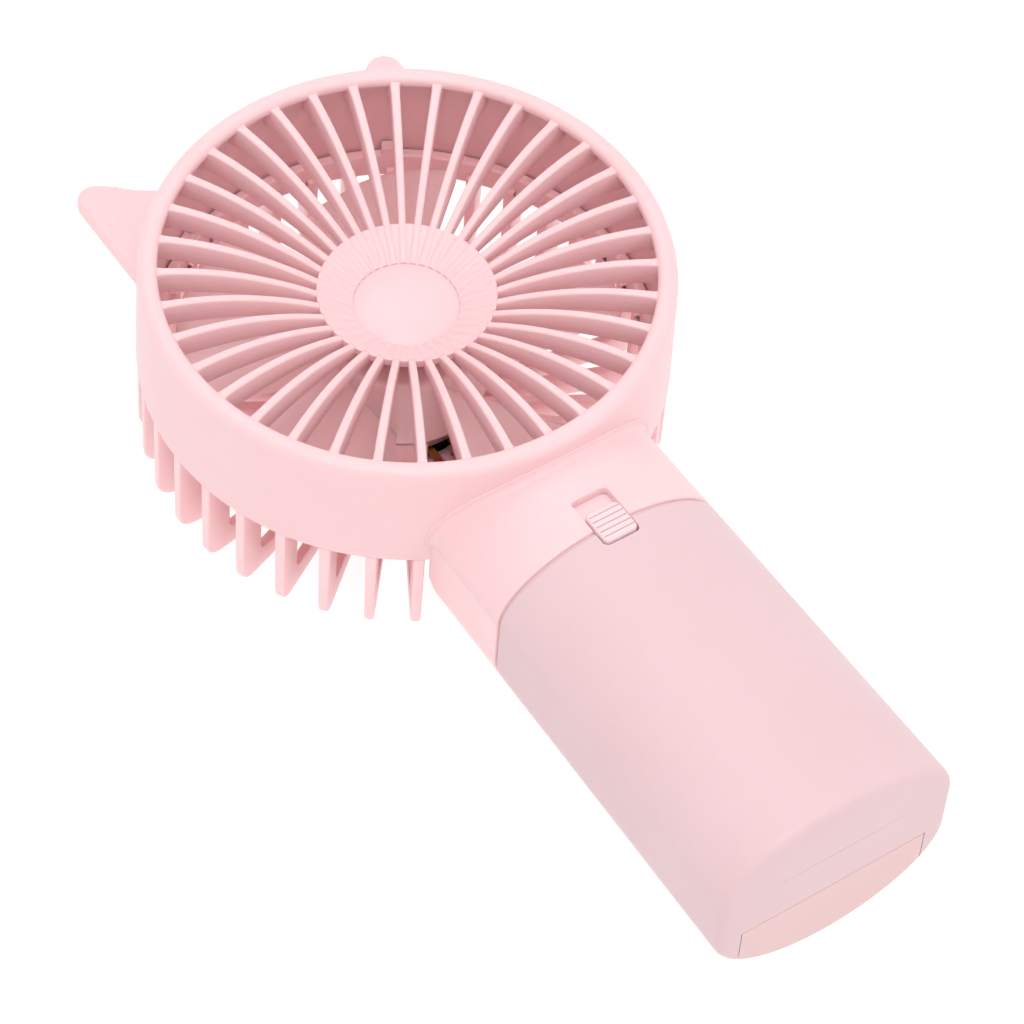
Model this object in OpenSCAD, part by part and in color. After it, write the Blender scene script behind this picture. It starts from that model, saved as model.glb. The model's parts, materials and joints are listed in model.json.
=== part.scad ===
// Handheld battery fan, lying on its back with the guard facing up.
// +Z leaves the front guard, +Y runs from the handle to the ears. The rotor axis is X = 0, Y = 0,
// and Z = 0 is the plane of the rear cage's back, so the head stands face_z deep above it.

/* [Head] */
// Outside diameter of the guard ring at the face
head_d = 90; // [84:1:96]
// Depth of the head, from the back of the cage to the face
face_z = 41; // [40:0.5:42]
// Outside diameter of the drum at its rear rim
rim_d = 90.8; // [90:0.1:92]
// Height of the drum wall, from its rear rim to the face
drum_h = 22; // [20:0.5:24]
// Diameter of the guard opening inside the ring
opening_d = 83.2; // [80:0.2:84]
// Thickness of the moulded walls
wall = 2; // [1.8:0.1:2.2]

/* [Guard] */
// Number of spokes, and of fins in the rear cage
spokes = 36; // [24:1:36]
// Thickness of a spoke
spoke_w = 1.4; // [1:0.1:1.6]
// Height of a spoke
spoke_h = 4.4; // [3:0.1:5]
// Diameter of the dished centre
dish_d = 30.4; // [28:0.2:34]
// How far the rim of the dish lies below the face
dish_drop = 7.3; // [6:0.1:8]
// Diameter of the domed cap
cap_d = 18; // [16:0.5:20]
// How far the edge of the cap lies below the face
cap_drop = 10.7; // [9.5:0.1:11]

/* [Rear cage] */
// Thickness of a fin
fin_w = 1.8; // [1:0.1:2]
// Radial depth of the upright leg of a fin
leg_depth = 5; // [4:0.1:6]
// Height of the flat leg of a fin
foot_h = 4.6; // [3:0.1:5]

/* [Ears] */
// Half the distance between the ears' outer edges
ear_x = 32.7; // [30:0.1:34]
// Distance of the ear tips from the rotor axis, along Y
ear_tip_y = 55.2; // [54:0.1:58]
// Thickness of an ear
ear_t = 3; // [2:0.1:3]
// Radius of an ear tip
ear_tip_r = 3.2; // [2.5:0.1:3.5]

/* [Handle] */
// Distance from the rotor axis to the end of the handle
handle_end = 124; // [123:0.5:126]
// Width of the handle where it leaves the head
neck_w = 42.2; // [41:0.1:43]
// Width of the handle at its end
end_w = 44.8; // [44:0.1:46]
// Height of the highest line of the handle
handle_top = 36.5; // [36:0.1:37]
// Distance from the rotor axis to the seam between neck and handle
seam_y = 60; // [59.5:0.1:60.5]
// Height of the parting line between the front and rear covers
part_z = 23.5; // [23:0.1:24]
// Height of the battery door's top edge on the end face
door_z = 14.5; // [14:0.1:15]
// Width of the battery door
door_w = 36; // [35:0.1:36.4]

/* [Switch] */
// Width of the switch slot
slot_w = 6.8; // [6.4:0.1:7]
// Length of the switch slot
slot_l = 10; // [9.6:0.1:10.4]
// Travel of the switch knob
knob_travel = 3.2; // [2:0.1:3.2]

/* [Impeller and motor] */
// Number of blades
blades = 5; // [3:1:6]
// Diameter across the blade tips
blade_d = 78; // [70:0.5:79]
// Diameter of the impeller hub
hub_d = 28.6; // [28.2:0.1:30]
// Diameter of the motor can
can_d = 24.4; // [24:0.1:24.6]
// Length of the motor can
can_h = 12.4; // [12:0.1:12.6]
// Diameter of the motor shaft
shaft_d = 2; // [1.5:0.1:2.5]

/* [Batteries] */
// Diameter of an AA cell
cell_d = 14.2; // [14:0.1:14.4]
// Length of an AA cell with its button
cell_l = 50.5; // [50:0.1:50.5]

/* [Hidden] */
$fn = 96;
eps = 0.01;

// Fits and small clearances
gap = 0.3;
nest_gap = 0.2;
run_gap = 0.05;

// Heights in the head
rim_z = face_z - drum_h;
dish_z = face_z - dish_drop;
cap_z = face_z - cap_drop;
dish_floor_z = cap_z - 1;
dish_floor_t = 1.7;
drum_in_r = rim_d / 2 - wall;
ring_r = drum_in_r - gap;
ring_t = 1.9;
ring_top_z = rim_z + 2.8;
ear_z = rim_z + 2.6;
pitch = 360 / spokes;

// Handle section: two half ellipses joined by straight sides
front_rise = handle_top - part_z;
back_rise = door_z;
end_round = 1.8;
neck_wall = 2.1;
case_wall = 2.4;
lip_out = 2.25;
lip_in = 3.4;
half_seam = 0.3;
section_steps = 24;

// Switch
slot_y = -58.2;
knob_l = slot_l - knob_travel - 2 * nest_gap;
knob_rest_y = slot_y - slot_l / 2 + nest_gap + knob_l / 2;
flange_z = 34;
flange_t = 0.9;
board_top_z = 28.2;

// Motor and impeller
seat_z = 2.4;
can_z = seat_z + 0.2;
can_top = can_z + can_h;
can_wall = 0.8;
bush_d = 5;
shaft_z = can_z + 0.8;
shaft_top = 24;
hub_low = 10.6;
hub_top = 25.4;
hub_wall = 1.2;
blade_z = 12.6;
blade_h = 12;
blade_t = 1.4;
blade_twist = 46;

// Battery bay and door
hook_ys = [-76, -92, -108];
hook_x = 15.2;
hook_t = 1.1;
hook_l = 4;
ledge_z = 9.9;
door_top_y = -67.9;
bulk_t = 1.2;
top_bulk_y = -64.6;
end_bulk_y = -121.4;
contact_t = 0.4;
top_face_y = top_bulk_y - contact_t;
end_face_y = end_bulk_y + bulk_t + contact_t;
spring_l = top_face_y - end_face_y - cell_l;
wire_d = 0.8;
rear_cell_x = 7.6;
rear_cell_z = 11.6;
front_cell_z = 24.2;
tray_in = cell_d / 2 + 0.25;
tray_wall = 1.5;
lead_hole_z = rear_cell_z + 3;

// Height of the motor leads where they cross the cage
lead_z = 5.7;

// Screws
neck_screw = [13, -53];
case_screw = [16.2, -63.9];
screw_hole_r = 1;
screw_r = 0.95;

// ---- helpers ----

function width_at(y) = neck_w + (end_w - neck_w) * (-y - 45) / (handle_end - 45);

// Points of the handle section at a width, moved inwards by inset
function section_points(w, inset) = concat(
    [for (i = [0:section_steps]) let (t = 180 * i / section_steps)
        [(w / 2 - inset) * cos(t), part_z + (front_rise - inset) * sin(t)]],
    [for (i = [0:section_steps]) let (t = 180 + 180 * i / section_steps)
        [(w / 2 - inset) * cos(t), door_z + (back_rise - inset) * sin(t)]]);

// Points of an arc, for rounded corners of an outline
function arc_points(cx, cy, r, a0, a1, n) =
    [for (i = [0:n]) [cx + r * cos(a0 + (a1 - a0) * i / n), cy + r * sin(a0 + (a1 - a0) * i / n)]];

// Points on a parabola through the ends that bulges by rise at the middle
function bow_points(p0, p1, rise, n) =
    [for (i = [0:n]) let (t = i / n)
        [p0[0] + (p1[0] - p0[0]) * t, p0[1] + (p1[1] - p0[1]) * t + 4 * rise * t * (1 - t)]];

// A flat plate with the handle's section, from y towards -Y
module section_plate(y, t, inset) {
    translate([0, y, 0])
        rotate([90, 0, 0])
            linear_extrude(t)
                polygon(section_points(width_at(y), inset));
}

// The handle's outer form: tapered, with a rounded end
module handle_form() {
    hull() {
        section_plate(-36, eps, 0);
        section_plate(-handle_end + end_round, eps, 0);
        section_plate(-handle_end + end_round * 0.3, eps, end_round * 0.3);
        section_plate(-handle_end + eps, eps, end_round);
    }
}

// The same form moved inwards, for the inside of a wall
module handle_core(inset, y0, y1) {
    hull() {
        section_plate(y0, eps, inset);
        section_plate(y1 + eps, eps, inset);
    }
}

// A box given by its low and high corners
module span(lo, hi) {
    translate(lo)
        cube(hi - lo);
}

module both_sides() {
    children();
    mirror([1, 0, 0]) children();
}

// Cuts the corners of a path, so that a lead bends smoothly
function cut_corners(path, passes) = passes == 0 ? path : cut_corners(concat(
    [path[0]],
    [for (i = [0:len(path) - 2]) for (t = [0.25, 0.75]) path[i] + t * (path[i + 1] - path[i])],
    [path[len(path) - 1]]), passes - 1);

function unit(v) = v / norm(v);

// Direction of a path at its point i
function heading(path, i) = unit(
    unit(path[min(i + 1, len(path) - 1)] - path[min(i, len(path) - 2)])
    + unit(path[max(i, 1)] - path[max(i - 1, 0)]));

// A round wire swept along a path. side is a direction that the path never follows.
module lead(corners, d, side, passes = 2, sides = 8) {
    path = cut_corners(corners, passes);
    n = len(path);
    points = [for (i = [0:n - 1])
        let (t = heading(path, i), u = unit(cross(t, side)), v = cross(u, t))
        for (k = [0:sides - 1]) path[i] + d / 2 * (u * cos(360 * k / sides) + v * sin(360 * k / sides))];
    walls = [for (i = [0:n - 2]) for (k = [0:sides - 1])
        [i * sides + k, i * sides + (k + 1) % sides, (i + 1) * sides + (k + 1) % sides, (i + 1) * sides + k]];
    ends = [[for (k = [sides - 1:-1:0]) k], [for (k = [0:sides - 1]) (n - 1) * sides + k]];
    polyhedron(points, concat(walls, ends));
}

// ---- head ----

// Side outline of a spoke and its ridge on the dish, as radius and height
function spoke_outline() = concat(
    [[cap_d / 2 + 0.2, cap_z + 0.45]],
    bow_points([dish_d / 2, dish_z + 0.3], [opening_d / 2 + 0.6, face_z - 1], 1.9, 8),
    [[drum_in_r + 0.4, face_z - 1], [drum_in_r + 0.4, face_z - 1 - spoke_h]],
    bow_points([opening_d / 2 + 0.6, face_z - 1 - spoke_h], [dish_d / 2, dish_z - 2], 1.1, 6),
    [[cap_d / 2 + 0.2, cap_z - 0.8]]);

module drum() {
    face_round = 1.6;
    rotate_extrude()
        polygon(concat(
            [[rim_d / 2, rim_z]],
            arc_points(head_d / 2 - face_round, face_z - face_round, face_round, 0, 90, 6),
            arc_points(opening_d / 2 + 1, face_z - 1, 1, 90, 180, 4),
            [[opening_d / 2, face_z - 2], [drum_in_r, face_z - 2.6], [drum_in_r, rim_z]]));
}

module dish() {
    rotate_extrude()
        polygon([[0, dish_floor_z], [cap_d / 2 + 0.2, dish_floor_z], [cap_d / 2 + 0.2, cap_z],
                 [dish_d / 2, dish_z], [dish_d / 2, dish_z - 1.6],
                 [cap_d / 2 + 1, cap_z - 1.9], [cap_d / 2, dish_floor_z - dish_floor_t],
                 [0, dish_floor_z - dish_floor_t]]);
}

module spoke(angle) {
    rotate([0, 0, angle])
        translate([0, spoke_w / 2, 0])
            rotate([90, 0, 0])
                linear_extrude(spoke_w)
                    polygon(spoke_outline());
}

// The switch slot, with the thinner wall round it that the knob's flange slides under
module switch_slot() {
    span([-slot_w / 2, slot_y - slot_l / 2, flange_z], [slot_w / 2, slot_y + slot_l / 2, face_z]);
    span([-4.8, slot_y - slot_l / 2 - 4.3, flange_z - 1],
         [4.8, slot_y + slot_l / 2 + knob_travel + 1, flange_z + flange_t + 0.15]);
}

module neck_front() {
    difference() {
        handle_form();
        handle_core(neck_wall, -30, -70);
        translate([0, 0, -eps]) cylinder(r = drum_in_r + 0.5, h = face_z);
        span([-40, -130, -1], [40, -seam_y + half_seam, face_z]);
        span([-40, -70, -1], [40, 0, part_z + 0.05]);
        switch_slot();
    }
    both_sides()
        difference() {
            intersection() {
                translate([neck_screw[0], neck_screw[1], part_z + 0.1]) cylinder(r = 2.9, h = 12);
                handle_core(neck_wall - 0.5, -30, -70);
            }
            translate([neck_screw[0], neck_screw[1], part_z]) cylinder(r = screw_hole_r, h = 7);
        }
    // Posts that the circuit board is fixed to
    both_sides()
        for (y = [-50.8, -57.8])
            intersection() {
                translate([6.2, y, board_top_z]) cylinder(r = 1.1, h = 10);
                handle_core(neck_wall - 0.5, -30, -70);
            }
}

module front_shell() {
    color([1, 0.87, 0.89]) {
        difference() {
            drum();
            both_sides() ear_peg(run_gap, 0.5);
        }
        difference() {
            dish();
            translate([0, 0, dish_floor_z - dish_floor_t - eps]) cylinder(d = 3.2, h = 3);
        }
        for (i = [0:spokes - 1]) spoke(i * pitch);
        neck_front();
    }
}

module hub_cap() {
    dome = 1.7;
    color([0.98, 0.86, 0.88]) {
        rotate_extrude()
            polygon(concat(
                [[0, dish_floor_z], [cap_d / 2, dish_floor_z]],
                [for (i = [0:8]) let (r = (cap_d / 2) * (1 - i / 8))
                    [r, cap_z + dome * (1 - pow(2 * r / cap_d, 2))]]));
        rotate_extrude()
            polygon([[0, dish_floor_z], [1.55, dish_floor_z], [1.55, dish_floor_z - 1.6],
                     [0, dish_floor_z - 1.6]]);
    }
}

// Outline of the right ear, from its outer root round the tip to its inner root
function ear_outline() = concat(
    [[ear_x - 8, 30], [ear_x + 0.1, 30.4]],
    arc_points(ear_x - ear_tip_r, ear_tip_y - ear_tip_r, ear_tip_r, 0, 128, 8),
    [for (i = [0:6]) let (t = i / 6)
        [(1 - t) * (1 - t) * 26.4 + 2 * t * (1 - t) * 22.4 + t * t * 13,
         (1 - t) * (1 - t) * 54.2 + 2 * t * (1 - t) * 48.6 + t * t * 45.6]],
    [[10, 43]]);

module ear() {
    difference() {
        translate([0, 0, ear_z]) linear_extrude(ear_t) polygon(ear_outline());
        translate([0, 0, ear_z - 1]) cylinder(d = rim_d + 0.04, h = ear_t + 2, $fn = 180);
    }
    ear_peg(0, 2);
}

// Peg that plugs into a slot in the drum wall, or the slot itself when grown
module ear_peg(grow, proud) {
    rotate([0, 0, 58])
        span([drum_in_r + 0.1 - 10 * grow, -3 - grow, ear_z + 0.8 - grow],
             [rim_d / 2 + proud, 3 + grow, ear_z + 2.2 + grow]);
}

module right_ear() { color([0.98, 0.86, 0.88]) ear(); }
module left_ear() { color([0.98, 0.86, 0.88]) mirror([1, 0, 0]) ear(); }

// ---- rear cage and neck ----

// Side outline of one fin, as radius and height
function fin_outline() = concat(
    [[rim_d / 2 - 0.2, rim_z - 0.1]],
    [for (p = arc_points(rim_d / 2 - 3.3, 3, 3, 0, -90, 5)) p],
    [[12.5, 0], [12.5, foot_h]],
    arc_points(rim_d / 2 - 0.2 - leg_depth - 1.5, foot_h + 1.5, 1.5, -90, 0, 3),
    [[rim_d / 2 - 0.2 - leg_depth, rim_z - 0.1]]);

module fin(angle) {
    rotate([0, 0, angle])
        translate([0, fin_w / 2, 0])
            rotate([90, 0, 0])
                linear_extrude(fin_w)
                    polygon(fin_outline());
}

module cage_ring() {
    rotate_extrude()
        polygon([[ring_r - ring_t, rim_z - 2], [ring_r, rim_z - 2], [ring_r, ring_top_z],
                 [ring_r - ring_t, ring_top_z]]);
}

module motor_seat() {
    difference() {
        union() {
            cylinder(r = 15.5, h = seat_z);
            cylinder(d = can_d + 2.8, h = 9.4);
        }
        translate([0, 0, seat_z]) cylinder(d = can_d + 2 * run_gap, h = 10);
        span([-3.4, -16, seat_z + 1.6], [3.4, -8, 12]);
    }
}

module neck_rear() {
    axis_r = rim_d / 2 + nest_gap;
    fin_r = rim_d / 2 - 0.5;
    set_back = 6;
    difference() {
        union() {
            difference() {
                handle_form();
                handle_core(neck_wall, -30, -70);
            }
            intersection() {
                union() {
                    cylinder(r = axis_r + wall, h = part_z);
                    cylinder(r1 = axis_r + wall + set_back, r2 = axis_r + wall, h = door_z);
                }
                handle_core(neck_wall - 0.3, -30, -70);
            }
            both_sides()
                intersection() {
                    translate([neck_screw[0], neck_screw[1], 1]) cylinder(r = 3.3, h = 30);
                    handle_core(neck_wall - 0.3, -30, -70);
                }
        }
        // The legs of the fins run into the neck below the rim of the drum
        translate([0, 0, -1]) cylinder(r = fin_r, h = face_z);
        // Below the straight sides the neck draws back from the cage
        translate([0, 0, -eps]) cylinder(r1 = fin_r + set_back, r2 = fin_r, h = door_z + eps);
        translate([0, 0, rim_z - 0.3]) cylinder(r = axis_r, h = face_z);
        span([-40, -130, -2], [40, -seam_y + half_seam, face_z]);
        span([-40, -70, part_z - 0.05], [40, 0, face_z]);
        // Hole that the motor leads pass through
        translate([0, -axis_r + 1, lead_z + 0.5]) rotate([90, 0, 0]) cylinder(r = 3.4, h = set_back + 5);
        both_sides()
            translate([neck_screw[0], neck_screw[1], -2]) {
                cylinder(r = 1.2, h = 30);
                cylinder(r = 2.3, h = 10);
            }
    }
}

module rear_shell() {
    color([1, 0.86, 0.88]) {
        cage_ring();
        motor_seat();
        for (i = [0:spokes - 1]) fin(i * pitch);
        neck_rear();
        // Arm that joins the cage to the neck and carries the leads
        span([-4.5, -52.4, 0.9], [4.5, -14, 3.4]);
    }
}

// ---- handle ----

module case_lip(z0, z1) {
    difference() {
        intersection() {
            handle_core(lip_out, -seam_y + 3.5, -seam_y - 2);
            span([-40, -70, z0], [40, 0, z1]);
        }
        handle_core(lip_in, -50, -70);
    }
}

module handle_front() {
    color([0.98, 0.86, 0.88])
        difference() {
            union() {
                difference() {
                    handle_form();
                    handle_core(case_wall, -30, -handle_end + wall);
                    span([-40, -seam_y - half_seam, -2], [40, 0, face_z]);
                }
                case_lip(part_z + 0.05, face_z);
                both_sides()
                    intersection() {
                        translate([case_screw[0], case_screw[1], part_z]) cylinder(r = 2.5, h = 12);
                        handle_core(case_wall - 0.3, -50, -80);
                    }
            }
            span([-40, -130, -2], [40, 0, part_z + 0.05]);
            // Room for the circuit board and for the knob's flange
            span([-8, -seam_y - 0.5, part_z], [8, 0, face_z]);
            span([-5, -seam_y - 2.1, part_z], [5, -seam_y, flange_z + flange_t + gap]);
            switch_slot();
            both_sides()
                translate([case_screw[0], case_screw[1], part_z - 1]) cylinder(r = screw_hole_r, h = 6);
        }
}

// A wall across the battery bay that carries contacts
module bulkhead(y) {
    intersection() {
        section_plate(y + bulk_t, bulk_t, case_wall + 0.2);
        span([-9.5, -130, 0], [9.5, 0, 31.8]);
    }
    intersection() {
        section_plate(y + bulk_t, bulk_t, case_wall + 0.2);
        span([-40, -130, 0], [40, 0, part_z - 0.4]);
    }
    intersection() {
        section_plate(y + bulk_t, bulk_t, case_wall - 0.4);
        span([-40, -130, door_z + 1], [40, 0, part_z - 0.4]);
    }
}

module handle_rear() {
    color([0.96, 0.83, 0.85])
        difference() {
            union() {
                difference() {
                    handle_form();
                    handle_core(case_wall, -30, -handle_end + wall);
                    span([-40, -seam_y - half_seam, -2], [40, 0, face_z]);
                    span([-40, -130, part_z - 0.05], [40, 0, face_z]);
                }
                bulkhead(top_bulk_y);
                bulkhead(end_bulk_y);
                both_sides()
                    intersection() {
                        translate([case_screw[0], case_screw[1], 0]) cylinder(r = 2.7, h = part_z - 0.1);
                        handle_core(case_wall - 0.3, -50, -80);
                    }
            }
            // Hole for the red lead
            translate([-rear_cell_x, top_bulk_y + bulk_t + 1, lead_hole_z])
                rotate([90, 0, 0]) cylinder(r = 1, h = 3);
            // Battery door opening, through the end face as well
            span([-door_w / 2, -handle_end - 1, -1], [door_w / 2, door_top_y, door_z - 1.5]);
            span([-door_w / 2, -handle_end - 1, -1], [door_w / 2, -handle_end + wall + 0.2, door_z]);
            both_sides()
                translate([case_screw[0], case_screw[1], -1]) {
                    cylinder(r = 1.2, h = 30);
                    cylinder(r = 2.1, h = 12);
                }
        }
    color([0.96, 0.83, 0.85]) {
        // The end contacts' wall, down into the door opening
        intersection() {
            bulkhead(end_bulk_y);
            span([-15, -130, 5], [15, 0, door_z - 1]);
        }
        // Ledges that the door's hooks slide over
        both_sides()
            for (y = hook_ys)
                span([hook_x + hook_t + gap, y - hook_l - gap, ledge_z], [19.5, y + gap, ledge_z + 1]);
    }
}

module battery_door() {
    half = door_w / 2 - nest_gap;
    color([0.95, 0.83, 0.85]) {
        intersection() {
            difference() {
                handle_form();
                handle_core(wall, -30, -handle_end + wall);
            }
            union() {
                span([-half, -handle_end - 1, -1], [half, door_top_y - nest_gap, door_z - 1.7]);
                span([-half, -handle_end - 1, -1], [half, -handle_end + wall, door_z - nest_gap]);
            }
        }
        // Hooks that slide over the rear cover's ledges
        both_sides()
            for (y = hook_ys) {
                span([hook_x, y - hook_l, 5.9], [hook_x + hook_t, y, ledge_z + 2.1]);
                span([hook_x, y - hook_l, ledge_z + 1.2], [half - 0.1, y, ledge_z + 2.1]);
            }
    }
}

module battery_tray() {
    outer = tray_in + tray_wall;
    color([0.97, 0.84, 0.86])
        difference() {
            intersection() {
                handle_core(case_wall + 0.1, -69, -115);
                span([-outer, -116, 19], [outer, -68, face_z]);
            }
            translate([0, -60, front_cell_z]) rotate([90, 0, 0]) cylinder(r = tray_in, h = 60);
            span([-tray_in, -117, 10], [tray_in, -60, front_cell_z]);
        }
}

// ---- switch ----

module switch_knob() {
    half_w = slot_w / 2 - gap;
    top_z = handle_top + 0.4;
    color([0.94, 0.86, 0.87]) {
        span([-half_w, knob_rest_y - knob_l / 2, flange_z], [half_w, knob_rest_y + knob_l / 2, top_z]);
        for (i = [-2:2])
            span([-half_w + 0.5, knob_rest_y + i * 1.15 - 0.3, top_z - 0.1],
                 [half_w - 0.5, knob_rest_y + i * 1.15 + 0.3, top_z + 0.35]);
        span([-4.3, slot_y - slot_l / 2 - 3.9, flange_z], [4.3, slot_y + slot_l / 2 + 0.6, flange_z + flange_t]);
    }
}

module switch_slider() {
    color([0.15, 0.15, 0.16])
        span([-1, knob_rest_y - 1, 31.4], [1, knob_rest_y + 1, flange_z]);
}

module switch_housing() {
    color([0.78, 0.79, 0.8])
        difference() {
            span([-3.2, -63, board_top_z], [3.2, -53.2, 31.8]);
            span([-1.3, knob_rest_y - 1.3, 31], [1.3, knob_rest_y + knob_travel + 1.3, 32]);
        }
}

module circuit_board() {
    color([0.12, 0.42, 0.22])
        span([-8.5, -63.2, board_top_z - 1.2], [8.5, -49, board_top_z]);
}

// ---- battery bay ----

// An AA cell against its flat contact. up turns its button towards the head.
module cell(x, z, up) {
    button_l = 1.4;
    translate([x, up ? top_face_y - cell_l : end_face_y + cell_l, z])
        rotate([up ? -90 : 90, 0, 0]) {
            cylinder(d = cell_d, h = cell_l - button_l);
            cylinder(d = 5.2, h = cell_l);
        }
}

module battery_left() { color([0.85, 0.55, 0.25]) cell(-rear_cell_x, rear_cell_z, true); }
module battery_right() { color([0.85, 0.55, 0.25]) cell(rear_cell_x, rear_cell_z, false); }
module battery_front() { color([0.85, 0.55, 0.25]) cell(0, front_cell_z, true); }

// Conical coil spring between a contact plate at y and the cell, which lies the way of dir
module spring(x, y, z, dir) {
    turns = 3;
    per_turn = 12;
    rise = spring_l - wire_d - 0.1;
    coil = [for (i = [0:turns * per_turn])
        let (t = i / (turns * per_turn), r = 4.2 - 1.8 * t)
            [x + r * cos(360 * i / per_turn), y + dir * (wire_d / 2 + 0.05 + rise * t),
             z + r * sin(360 * i / per_turn)]];
    lead(coil, wire_d, [0, 1, 0], 0, 6);
}

module contact_springs() {
    color([0.8, 0.8, 0.78]) {
        spring(-rear_cell_x, end_face_y, rear_cell_z, 1);
        spring(0, end_face_y, front_cell_z, 1);
        spring(rear_cell_x, top_face_y, rear_cell_z, -1);
    }
}

module plate(x0, x1, y, z0, z1) {
    span([x0, y - contact_t / 2, z0], [x1, y + contact_t / 2, z1]);
}

module contact_plates() {
    end_y = end_face_y - contact_t / 2;
    top_y = top_face_y + contact_t / 2;
    color([0.82, 0.82, 0.8]) {
        plate(-12.6, 12.6, end_y, rear_cell_z - 4, rear_cell_z + 4);
        plate(-5, 5, end_y, front_cell_z - 5, front_cell_z + 5);
        plate(-12.6, -2.6, top_y, rear_cell_z - 4, rear_cell_z + 4);
        plate(2.6, 12.6, top_y, rear_cell_z - 4, rear_cell_z + 4);
        plate(-4, 6, top_y, rear_cell_z + 4.6, front_cell_z + 5);
        plate(3, 6, top_y, rear_cell_z + 3.9, rear_cell_z + 4.7);
    }
}

// ---- motor and impeller ----

module motor_can() {
    color([0.8, 0.81, 0.83])
        difference() {
            translate([0, 0, can_z]) cylinder(d = can_d, h = can_h);
            translate([0, 0, can_z - eps]) cylinder(d = can_d - 2 * can_wall, h = can_h - can_wall);
            translate([0, 0, can_z]) cylinder(d = bush_d, h = can_h + 1);
            span([-3.3, -13, can_z - 1], [3.3, -10, can_z + 3.8]);
        }
}

module motor_end_cap() {
    color([0.16, 0.16, 0.17])
        difference() {
            translate([0, 0, can_z]) cylinder(d = can_d - 2 * can_wall - 0.04, h = 1.8);
            translate([0, 0, can_z + 0.6]) cylinder(d = bush_d, h = 3);
        }
}

module bush(z, h) {
    translate([0, 0, z])
        difference() {
            cylinder(d = bush_d, h = h);
            translate([0, 0, -eps]) cylinder(d = shaft_d + 2 * run_gap, h = h + 1);
        }
}

module front_bush() { color([0.82, 0.65, 0.3]) bush(can_top - can_wall - 0.8, 2.8); }
module rear_bush() { color([0.82, 0.65, 0.3]) bush(can_z + 0.6, 1.8); }

module motor_magnets() {
    color([0.22, 0.22, 0.24])
        both_sides()
            intersection() {
                translate([0, 0, can_z + 3])
                    difference() {
                        cylinder(d = can_d - 2 * can_wall - 0.04, h = 7.6);
                        translate([0, 0, -1]) cylinder(r = 8.8, h = 10);
                    }
                span([4, -12, 0], [14, 12, 20]);
            }
}

module motor_brushes() {
    color([0.75, 0.45, 0.25])
        both_sides()
            span([2.25, -2.2, can_z + 2.5], [2.75, 8, can_z + 3.7]);
}

module motor_terminals() {
    color([0.85, 0.75, 0.4])
        both_sides()
            span([1.5, -14.6, can_z + 2.9], [2.9, -10.3, can_z + 3.3]);
}

module motor_shaft() {
    color([0.85, 0.86, 0.88])
        translate([0, 0, shaft_z]) cylinder(d = shaft_d, h = shaft_top - shaft_z);
}

module armature() {
    core_r = 8.3;
    color([0.45, 0.3, 0.2])
        difference() {
            translate([0, 0, can_z + 4]) cylinder(r = core_r, h = 5.6);
            translate([0, 0, can_z]) cylinder(d = shaft_d, h = 12);
            // Winding windows between the three poles
            for (i = [0:2])
                rotate([0, 0, 120 * i])
                    translate([core_r - 2.6, 0, can_z]) {
                        cylinder(r = 1.9, h = 12);
                        translate([0, -0.5, 0]) cube([4, 1, 12]);
                    }
        }
}

module commutator() {
    color([0.8, 0.5, 0.3])
        translate([0, 0, can_z + 2.5])
            difference() {
                cylinder(r = 2.2, h = 1.4);
                translate([0, 0, -eps]) cylinder(d = shaft_d, h = 2);
            }
}

module impeller() {
    boss_r = 3;
    color([0.91, 0.78, 0.79]) {
        difference() {
            rotate_extrude()
                polygon(concat(
                    [[0, hub_top - 1.5], [hub_d / 2 - hub_wall, hub_top - 1.5],
                     [hub_d / 2 - hub_wall, hub_low], [hub_d / 2, hub_low]],
                    arc_points(hub_d / 2 - 1.2, hub_top - 1.2, 1.2, 0, 90, 4),
                    [[0, hub_top]]));
            translate([0, 0, hub_low]) cylinder(d = shaft_d, h = shaft_top - hub_low);
        }
        difference() {
            translate([0, 0, can_top + 2.6]) cylinder(r = boss_r, h = hub_top - 1.4 - can_top - 2.6);
            translate([0, 0, hub_low]) cylinder(d = shaft_d, h = shaft_top - hub_low);
        }
        for (i = [0:blades - 1])
            rotate([0, 0, i * 360 / blades])
                translate([0, 0, blade_z])
                    linear_extrude(height = blade_h, twist = blade_twist, slices = 10, segments = 4)
                        translate([hub_d / 2 - 0.6, -blade_t / 2])
                            square([blade_d / 2 - hub_d / 2 + 0.6, blade_t]);
    }
}

// ---- fasteners and leads ----

module screw(x, y, seat, top) {
    translate([x, y, seat]) {
        difference() {
            translate([0, 0, -1.4]) cylinder(r = 1.9, h = 1.4);
            span([-1.3, -0.3, -1.5], [1.3, 0.3, -0.8]);
            span([-0.3, -1.3, -1.5], [0.3, 1.3, -0.8]);
        }
        cylinder(r = screw_r, h = top - seat);
    }
}

module shell_screws() {
    color([0.8, 0.8, 0.82])
        both_sides() {
            screw(neck_screw[0], neck_screw[1], 8, part_z + 6);
            screw(case_screw[0], case_screw[1], 11, part_z + 4.4);
        }
}

module battery_lead_red() {
    color([0.8, 0.1, 0.1])
        lead([[-rear_cell_x, -64.3, lead_hole_z], [-rear_cell_x, -62.2, lead_hole_z],
              [-rear_cell_x, -61.2, 17.5], [-7.2, -61.2, 26.4]], 1.2, [1, 0, 0]);
}

module battery_lead_black() {
    color([0.08, 0.08, 0.08])
        lead([[4.4, -119.15, 28], [9.6, -118.9, 27.8], [10.6, -116, 27.4], [10.6, -66.4, 27.2],
              [10.6, -61.6, 26.2], [7.4, -60.6, 26.2]], 1.2, [0, 0, 1]);
}

module motor_lead() {
    lead([[4, -50.5, 26.4], [4, -50.5, 14], [3.4, -52.2, 8.6], [2.4, -51.8, lead_z + 0.4],
          [2.2, -43, lead_z], [2.2, -16, lead_z], [2.2, -14.8, lead_z]], 1.2, [1, 0, 0]);
}

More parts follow.
